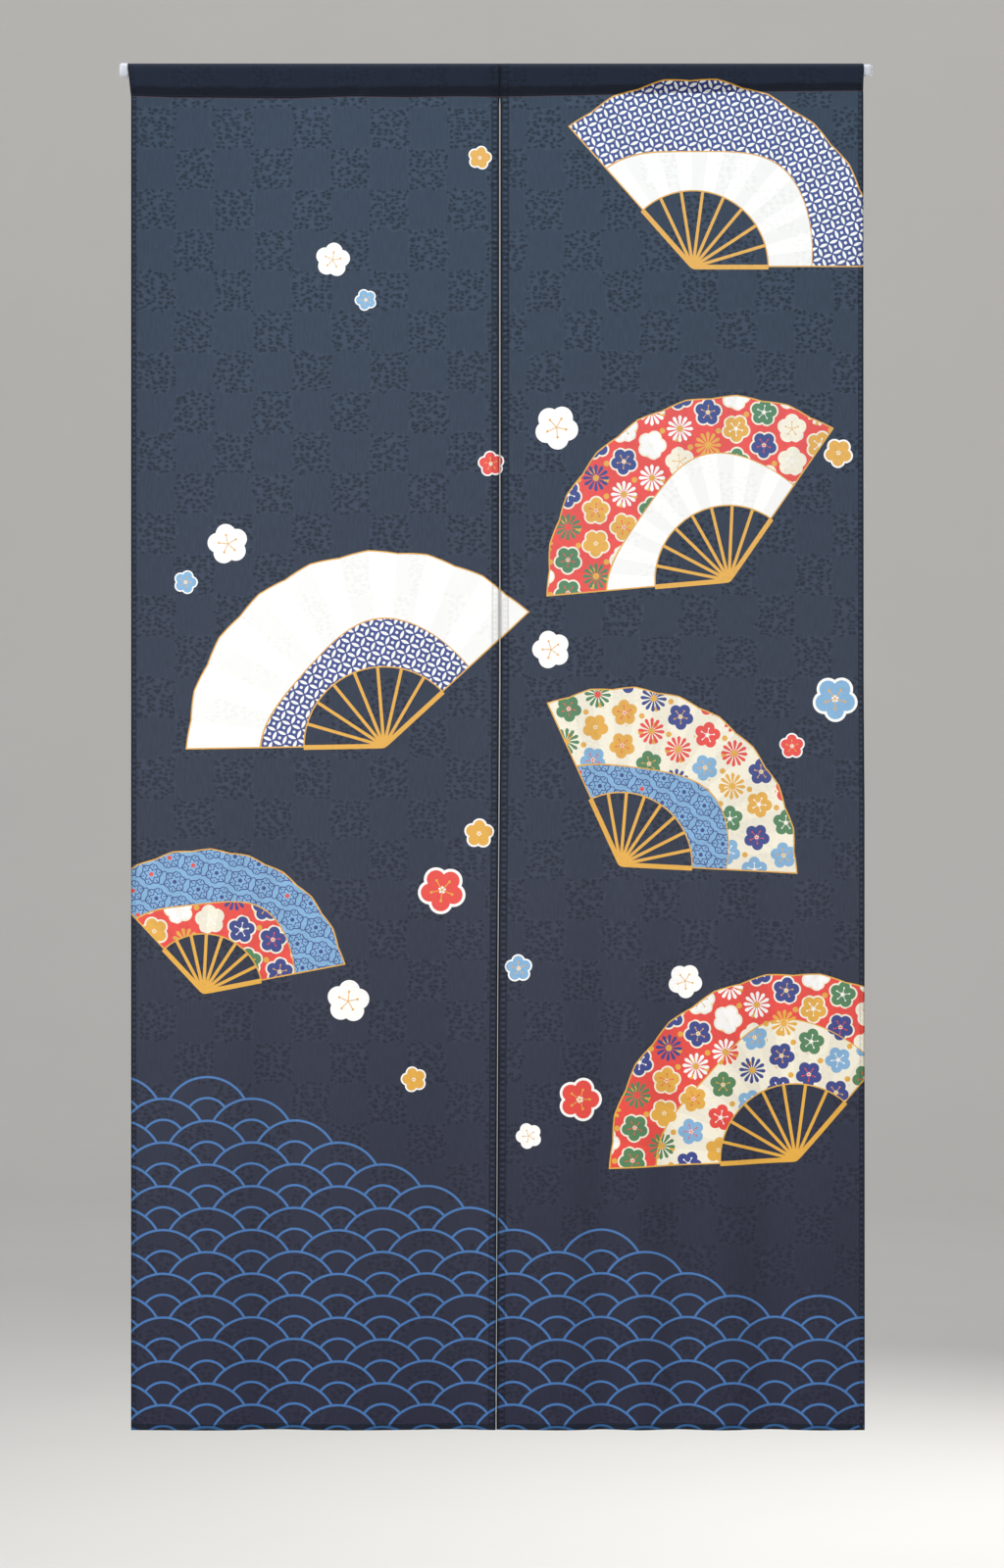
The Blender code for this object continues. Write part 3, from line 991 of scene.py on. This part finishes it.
def hung(panel, across, y, z, ripple):
    """Where points of the straight cloth lie once it hangs: across is from its left edge."""
    left, right = panel["edges"]
    share = across / panel_width(panel)
    x = upright_edge(left, z) * (1 - share) + upright_edge(right, z) * share
    edge = header_depth(x)
    below = (-z - HEADER_DEPTH) / (CLOTH_DROP - HEADER_DEPTH)
    fallen = -edge - below * (CLOTH_DROP - edge)
    pocket = np.where(z < 0, z * edge / HEADER_DEPTH, z)
    z = np.where(z < -HEADER_DEPTH, fallen, pocket)
    from_slit = (x - upright_edge(panel["slit"], z)) / CURL_WIDTH
    grown = eased((-z - CURL_START) / (CLOTH_DROP - CURL_START))
    curl = panel["curl"] * grown * np.exp(-(from_slit**2))
    return x, y + fold_offset(x, z) + curl + ripple_offset(x, z, ripple), z


def cloth_rows():
    """The cloth cut across the rod, from the raw edge turned into the pocket to the raw edge of
    the bottom hem: Y, Z, the distance on the flat cloth, and how well each row is covered.

    Rows lie close together on both sides of each fold and seam, so that its tone ends sharply.
    """
    radius = ROD_RADIUS + POCKET_CLEARANCE
    seam = HEADER_DEPTH - SEAM_ABOVE_EDGE
    lean = math.acos(radius / seam)
    tangent = seam - radius * math.cos(lean)
    half_round = math.pi * radius
    turn_in_top = TURN_IN_DEPTH - HEADER_DEPTH
    fold_top = FOLD_ROUNDING - HEADER_DEPTH
    hem_top = BOTTOM_HEM - CLOTH_DROP
    hem = [hem_top - 0.0002, hem_top / 2 - CLOTH_DROP / 2, FOLD_ROUNDING - CLOTH_DROP]

    def wall_y(side, z, start):
        """The pocket's straight wall, drawn in to where its layers meet at the seam."""
        height = max(z + seam, 0.0)
        return side * height / math.tan(lean) + start * (1 - height / tangent)

    def cover(z):
        """The pocket's cover, full where the turned in edge lies behind as well."""
        return POCKET_COVER if z > turn_in_top else 1.0

    rows = []
    for z in np.linspace(turn_in_top, fold_top, POCKET_WALL_STEPS):
        on_flat = half_round + 2 * HEADER_DEPTH + z
        rows.append((wall_y(1, z, BACK_Y) - LAYER_STEP, z, on_flat, 1.0))
    rows.append((BACK_Y - LAYER_STEP / 2, -HEADER_DEPTH, half_round + HEADER_DEPTH, 1.0))
    back = [fold_top, -seam, -seam + 0.004, turn_in_top - FOLD_ROUNDING]
    back += [turn_in_top + FOLD_ROUNDING, (turn_in_top - 0.002) / 2]
    for z in back:
        rows.append((wall_y(1, z, BACK_Y), z, half_round - z, cover(z)))
    for turn in np.linspace(math.pi - lean, lean - math.pi, POCKET_ARC_STEPS + 1):
        on_flat = radius * (turn + math.pi / 2)
        rows.append((radius * math.sin(turn), radius * math.cos(turn), on_flat, POCKET_COVER))
    for z in [-0.008, turn_in_top + 0.0018, turn_in_top - 0.0018, -seam + 0.003, -seam]:
        rows.append((wall_y(-1, z, FRONT_Y), z, z, cover(z)))
    rows.append((FRONT_Y, -HEADER_DEPTH + 0.0001, -HEADER_DEPTH, 1.0))
    rows.append((FRONT_Y, -HEADER_DEPTH - 0.0003, -HEADER_DEPTH, 0.0))
    first = -HEADER_DEPTH - 0.0020
    count = int((first - hem_top) / ROW_STEP)
    for z in np.linspace(first, hem_top + 0.0006, count):
        rows.append((FRONT_Y, z, z, 0.0))
    for z in hem:
        rows.append((FRONT_Y, z, z, BOTTOM_HEM_COVER))
    rows.append((FRONT_Y + LAYER_STEP / 2, -CLOTH_DROP, -CLOTH_DROP, 1.0))
    for z in [hem[2], hem[1], hem_top]:
        rows.append((FRONT_Y + LAYER_STEP, z, -2 * CLOTH_DROP - z, BOTTOM_HEM_COVER))
    return np.array(rows)


def hem_columns(width):
    """A side hem's columns, from its raw edge on the back, round its fold, to the stitches."""
    return [
        # from the fold, layers to the back, cover, on the flat cloth. The pressed fold is covered
        # for about a millimetre.
        (width, 1.0, SIDE_HEM_COVER, -width),
        (FOLD_ROUNDING, 1.0, SIDE_HEM_COVER, -FOLD_ROUNDING),
        (0.0, 0.5, 1.0, 0.0),
        (FOLD_ROUNDING, 0.0, 1.0, FOLD_ROUNDING),
        (0.0011, 0.0, 0.9, 0.0011),
        (0.0018, 0.0, SIDE_HEM_COVER, 0.0018),
        (width, 0.0, SIDE_HEM_INNER_COVER, width),
    ]


def cloth_columns(panel):
    """The cloth's columns: across from its left edge, layers to the back, cover, and across on
    the flat cloth."""
    left_hem, right_hem = panel["hems"]
    width = panel_width(panel)
    count = int((width - left_hem - right_hem) / COLUMN_STEP)
    middle = np.linspace(left_hem + 0.0004, width - right_hem - 0.0004, count)
    columns = hem_columns(left_hem)
    columns += [(across, 0.0, 0.0, across) for across in middle]
    for inset, layer, cover, on_flat in reversed(hem_columns(right_hem)):
        columns.append((width - inset, layer, cover, width - on_flat))
    return np.array(columns)


def add_object(name, data):
    """Adds an object with its data to the scene."""
    item = bpy.data.objects.new(name, data)
    bpy.context.scene.collection.objects.link(item)
    return item


def add_piece(name, bm, *materials):
    """Adds a finished bmesh to the scene as a smooth piece with its materials."""
    mesh = bpy.data.meshes.new(name)
    bm.to_mesh(mesh)
    bm.free()
    mesh.shade_smooth()
    for material in materials:
        mesh.materials.append(material)
    return add_object(name, mesh)


def make_cloth(panel, materials, settings):
    """Cuts one cloth flat, folds its pocket and hems, hangs it and gives it its thickness."""
    rows = cloth_rows()
    columns = cloth_columns(panel)
    bm = bmesh.new()
    bmesh.ops.create_grid(bm, x_segments=len(columns) - 1, y_segments=len(rows) - 1, size=0.5)
    along = np.gradient(rows[:, :2], axis=0)
    along /= np.linalg.norm(along, axis=1)[:, None]
    to_back = np.stack([-along[:, 1], along[:, 0]], axis=1)
    place = np.array([vert.co[:2] for vert in bm.verts])
    column = np.rint((place[:, 0] + 0.5) * (len(columns) - 1)).astype(int)
    row = np.rint((0.5 - place[:, 1]) * (len(rows) - 1)).astype(int)
    across, layer, side_cover, flat_across = columns[column].T
    y, z, flat_down, cover = rows[row].T
    y = y + layer * LAYER_STEP * to_back[row, 0]
    z = z + layer * LAYER_STEP * to_back[row, 1]
    x, y, z = hung(panel, across, y, z, settings.ripple)

    # The face's own place is where it hangs, so that the print meets across the slit
    left = upright_edge(panel["edges"][0], -CLOTH_DROP)
    on_face = (flat_down <= 0) & (flat_down > -CLOTH_DROP)
    flat_down = np.where(on_face, z, flat_down)
    # The welt row carries the painted highlight under the header
    at_welt = np.abs(rows[:, 1] + HEADER_DEPTH) < 0.0004
    left_share = across / panel["hems"][0]
    right_share = (panel_width(panel) - across) / panel["hems"][1]
    values = {
        "cover": np.maximum(cover, side_cover),
        "hem_share": np.minimum(left_share, right_share),
        "welt": (at_welt & (rows[:, 2] < 0))[row].astype(float),
    }
    layers = {name: bm.verts.layers.float.new(name) for name in values}
    uv = bm.loops.layers.uv.new("cloth")
    for vert in bm.verts:
        i = vert.index
        vert.co = (x[i], y[i], z[i])
        for name, given in values.items():
            vert[layers[name]] = given[i]
    for face in bm.faces:
        for loop in face.loops:
            i = loop.vert.index
            loop[uv].uv = (left + flat_across[i], flat_down[i])
    cloth = add_piece("cloth_" + panel["side"], bm, *materials)
    wall = cloth.modifiers.new("Thickness", "SOLIDIFY")
    wall.thickness = settings.thickness
    wall.offset = 0.0
    wall.material_offset = 1
    length = float(np.sum(np.linalg.norm(np.diff(rows[:, :2], axis=0), axis=1)))
    width = panel_width(panel) + sum(panel["hems"])
    return cloth, (width, length)


def stitch_lines(panel, settings):
    """Each line of stitches: places across and down the straight cloth, and a depth in Y."""
    width = panel_width(panel)
    left_hem, right_hem = panel["hems"]
    front = FRONT_Y - settings.thickness / 2
    hem_back = FRONT_Y + LAYER_STEP + settings.thickness / 2
    pocket_back = BACK_Y + settings.thickness / 2
    seam = SEAM_ABOVE_EDGE - HEADER_DEPTH
    hem = BOTTOM_HEM - STITCH_FROM_HEM_EDGE - CLOTH_DROP
    below_header, from_side = 0.004, 0.003
    down = np.arange(-HEADER_DEPTH - below_header, hem, -STITCH_PITCH)
    level = np.arange(from_side, width - from_side, STITCH_PITCH)
    lines = []
    for across in (left_hem - STITCH_FROM_HEM_EDGE, width - right_hem + STITCH_FROM_HEM_EDGE):
        for y in (front, hem_back):
            lines.append((np.full(down.shape, across), y, down))
    for y, z in ((front, seam), (pocket_back, seam), (front, hem), (hem_back, hem)):
        lines.append((level, y, np.full(level.shape, z)))
    return lines


def make_stitches(panel, material, settings):
    """All the stitches of one cloth as one mesh of small rounded threads."""
    single = bmesh.new()
    bmesh.ops.create_uvsphere(single, u_segments=6, v_segments=4, radius=1.0)
    form = np.array([vert.co for vert in single.verts]) * np.array(STITCH_SIZE) / 2
    pattern = bpy.data.meshes.new("stitch")
    single.to_mesh(pattern)
    single.free()
    placed = []
    for across, y, z in stitch_lines(panel, settings):
        depth = np.full(z.shape, y)
        points = np.stack(hung(panel, across, depth, z, settings.ripple), axis=1)
        for here, after in zip(points, points[1:]):
            turn = Vector(after - here).to_track_quat("X", "Y").to_matrix()
            placed.append(form @ np.array(turn).T + here)
    whole = bmesh.new()
    for _ in placed:
        whole.from_mesh(pattern)
    for vert, place in zip(whole.verts, np.concatenate(placed)):
        vert.co = place
    bpy.data.meshes.remove(pattern)
    return add_piece("stitches_" + panel["side"], whole, material)


def turned(points, centre, axis, steps):
    """A line of points turned once about an axis, as a closed skin."""
    bm = bmesh.new()
    verts = [bm.verts.new(point) for point in points]
    edges = [bm.edges.new(pair) for pair in zip(verts, verts[1:])]
    bmesh.ops.spin(
        bm,
        geom=verts + edges,
        cent=centre,
        axis=axis,
        angle=math.tau,
        steps=steps,
        use_merge=True,
        use_duplicate=False,
    )
    bmesh.ops.remove_doubles(bm, verts=bm.verts, dist=0.00001)
    bmesh.ops.recalc_face_normals(bm, faces=bm.faces)
    return bm


def make_cap(name, node, end, bore_radius, material, settings):
    """A turned end cap with a flat face, a rounded rim, a shallow groove and an open socket."""
    groove_from_mouth, groove_half, groove_depth = 0.0022, 0.0003, 0.00025
    bevel, face_thickness, rim_steps, sharp_angle = 0.0003, 0.0030, 9, 35
    low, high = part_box(node)
    radius = round_radius(node)
    length = high.x - low.x
    rounding = settings.cap_rounding
    profile = [(0.0, 0.0)]
    for angle in np.linspace(math.pi / 2, 0, rim_steps):
        inward = rounding * (1 - math.sin(angle))
        profile.append((inward, radius - rounding * (1 - math.cos(angle))))
    groove = length - groove_from_mouth
    profile += [
        (groove - groove_half, radius),
        (groove, radius - groove_depth),
        (groove + groove_half, radius),
        (length - bevel, radius),
        (length, radius - bevel),
        (length, bore_radius),
        (face_thickness, bore_radius),
        (face_thickness, 0.0),
    ]
    direction = 1 if end == low.x else -1
    points = [(end + direction * x, 0.0, r) for x, r in profile]
    cap = add_piece(name, turned(points, (0, 0, 0), (1, 0, 0), 72), material)
    cap.data.set_sharp_from_angle(angle=math.radians(sharp_angle))
    return cap


class NOREN_OT_finish_rod(bpy.types.Operator):
    """Enamels the rod's tubes and fits its moulded end caps"""

    bl_idname = "noren.finish_rod"
    bl_label = "Finish Rod"

    def execute(self, context):
        settings = context.scene.noren_rod
        bore_clearance = 0.0003

        # Stoved white enamel on thin steel tube: smooth and glossy, with a faint orange peel
        enamel = grained_material(
            "white stoved enamel",
            settings.enamel,
            mottle=(2.5 * MM, 2.0, 0.97, 1.0),
            grain=(2.5 * MM, 2.0, 0.2, 0.00005, 0.3, 0.3),
        )
        for node in ("rod_outer_tube", "rod_inner_tube"):
            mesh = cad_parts[node].data
            mesh.materials.clear()
            mesh.materials.append(enamel)

        # Moulded white polyethylene: satin and softly mottled, duller where its grain stands up
        plastic = grained_material(
            "satin moulded polyethylene",
            settings.cap,
            mottle=(6 * MM, 1.0, 0.95, 1.0),
            grain=(0.5 * MM, 3.0, 0.25, 0.00004, 0.42, 0.55),
        )
        left_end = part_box("rod_cap_left")[0].x
        right_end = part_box("rod_cap_right")[1].x
        for name, node, end, tube in (
            ("end_cap_left", "rod_cap_left", left_end, "rod_outer_tube"),
            ("end_cap_right", "rod_cap_right", right_end, "rod_inner_tube"),
        ):
            bore = round_radius(tube) + bore_clearance
            cap = make_cap(name, node, end, bore, plastic, settings)
            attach(cap, BODY)
            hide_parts(node)
        return {"FINISHED"}


class NOREN_OT_sew_stitches(bpy.types.Operator):
    """Sews the lines of stitches along the hems and under the pocket"""

    bl_idname = "noren.sew_stitches"
    bl_label = "Sew Stitches"

    def execute(self, context):
        settings = context.scene.noren_cloth

        # Spun polyester sewing thread: dark and dull, with a light and dark twist
        thread = grained_material(
            "spun polyester thread",
            settings.thread,
            mottle=(0.6 * MM, 1.0, 0.7, 1.3),
            roughness=0.6,
        )
        for panel in PANELS:
            stitches = make_stitches(panel, thread, settings)
            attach(stitches, BODY)
        return {"FINISHED"}


class NOREN_OT_hang_cloths(bpy.types.Operator):
    """Cuts, prints, folds and hangs the two cloths"""

    bl_idname = "noren.hang_cloths"
    bl_label = "Hang Cloths"

    def execute(self, context):
        settings = context.scene.noren_cloth
        groups = {
            "print": print_group(),
            "jacquard": jacquard_group(),
            "needle": needlework_group(),
        }
        materials = (
            cloth_material("jacquard polyester cloth, printed face", groups, settings, False),
            cloth_material("jacquard polyester cloth, reverse", groups, settings, True),
        )
        for panel in PANELS:
            cloth, flat = make_cloth(panel, materials, settings)
            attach(cloth, BODY)
            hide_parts(panel["node"])
        return {"FINISHED"}


def add_area_light(name, place, target, size, power):
    """A square soft light at a place, aimed at a target. No view shows the light itself."""
    data = bpy.data.lights.new(name, "AREA")
    data.shape = "SQUARE"
    data.size = size
    data.energy = power
    light = add_object(name, data)
    light.visible_camera = False
    light.location = place
    light.rotation_euler = (Vector(target) - Vector(place)).to_track_quat("-Z", "Y").to_euler()


def make_floor(settings):
    """A round floor that curves up into a wall on all sides, turned about the curtain."""
    cove, height, cove_steps, turn_steps = 2.5, 4.5, 16, 96
    floor_z = -CLOTH_DROP - settings.floor_drop
    wall = settings.room_radius
    profile = [(0.0, floor_z), (wall / 2, floor_z), (wall - cove, floor_z)]
    for angle in np.linspace(0, math.pi / 2, cove_steps)[1:]:
        out = wall - cove + cove * math.sin(angle)
        profile.append((out, floor_z + cove * (1 - math.cos(angle))))
    profile.append((wall, height))
    centre = (CAD_BOUNDS[0][0] + CAD_BOUNDS[1][0]) / 2
    points = [(centre + out, 0.0, z) for out, z in profile]

    # Matt painted studio floor and backdrop: even and dull, with a faint roller mottle
    paint = grained_material(
        "matt pale studio paint",
        settings.floor_colour,
        mottle=(1 / 3, 3.0, 0.985, 1.0),
        roughness=0.9,
    )
    return add_piece("studio_floor", turned(points, (centre, 0, 0), (0, 0, 1), turn_steps), paint)


class NOREN_OT_set_stage(bpy.types.Operator):
    """Sets the pale floor, the soft lights and the camera in front of the curtain"""

    bl_idname = "noren.set_stage"
    bl_label = "Set Stage"

    def execute(self, context):
        settings = context.scene.noren_stage
        make_floor(settings)
        middle, rod, wall = (0.42, 0.0, -0.72), (0.42, 0.0, 0.0), (0.42, 10.0, -0.6)
        for light in (
            # name, place, target, size, power
            ("key_light", (-2.2, -2.6, 0.8), middle, 1.6, settings.key_power),
            ("fill_light", (1.6, -3.2, -0.3), middle, 2.2, settings.fill_power),
            ("rim_light", (0.42, 0.4, 1.5), rod, 1.4, settings.rim_power),
            ("back_light", (2.0, 2.6, 0.5), middle, 1.8, settings.back_power),
            ("wall_light", (0.42, 4.5, 3.4), wall, 3.0, settings.wall_power),
        ):
            add_area_light(*light)
        air_strength = 0.38
        world = bpy.data.worlds.new("studio_air")
        world.use_nodes = True
        air = world.node_tree.nodes["Background"]
        air.inputs["Color"].default_value = linear("F7FAFF")
        air.inputs["Strength"].default_value = air_strength
        context.scene.world = world
        context.scene.view_settings.view_transform = "Standard"

        # The photograph's frame at the rod: its centre and height, in the frame's metres
        frame_centre_x, frame_centre_z, frame_height, sensor = 0.4198, -0.7836, 1.722, 36.0
        data = bpy.data.cameras.new("photo_camera")
        data.sensor_fit = "VERTICAL"
        data.sensor_height = sensor
        data.lens = sensor * settings.camera_distance / frame_height
        camera = add_object("photo_camera", data)
        camera.location = (frame_centre_x, -settings.camera_distance, frame_centre_z)
        camera.rotation_euler = (math.pi / 2, 0, 0)
        context.scene.camera = camera
        return {"FINISHED"}


class NOREN_PT_panel(bpy.types.Panel):
    """Lists the steps that dress the curtain, with the sizes and colours that they use"""

    bl_idname = "NOREN_PT_panel"
    bl_label = "Noren Curtain"
    bl_space_type = "VIEW_3D"
    bl_region_type = "UI"
    bl_category = "Noren"

    def draw(self, context):
        scene = context.scene
        for operator, settings in (
            (NOREN_OT_finish_rod, scene.noren_rod),
            (NOREN_OT_sew_stitches, None),
            (NOREN_OT_hang_cloths, scene.noren_cloth),
            (NOREN_OT_set_stage, scene.noren_stage),
        ):
            column = self.layout.column(align=True)
            column.operator(operator.bl_idname)
            if settings is None:
                continue
            for name in settings.__annotations__:
                column.prop(settings, name)


CLASSES = (
    NorenClothSettings,
    NorenRodSettings,
    NorenStageSettings,
    NOREN_OT_finish_rod,
    NOREN_OT_sew_stitches,
    NOREN_OT_hang_cloths,
    NOREN_OT_set_stage,
    NOREN_PT_panel,
)


def register():
    for cls in CLASSES:
        bpy.utils.register_class(cls)
    bpy.types.Scene.noren_cloth = bpy.props.PointerProperty(type=NorenClothSettings)
    bpy.types.Scene.noren_rod = bpy.props.PointerProperty(type=NorenRodSettings)
    bpy.types.Scene.noren_stage = bpy.props.PointerProperty(type=NorenStageSettings)


def unregister():
    del bpy.types.Scene.noren_stage
    del bpy.types.Scene.noren_rod
    del bpy.types.Scene.noren_cloth
    for cls in reversed(CLASSES):
        bpy.utils.unregister_class(cls)


def main():
    register()
    bpy.ops.noren.finish_rod()
    bpy.ops.noren.sew_stitches()
    bpy.ops.noren.hang_cloths()
    bpy.ops.noren.set_stage()


if __name__ == "__main__":
    main()
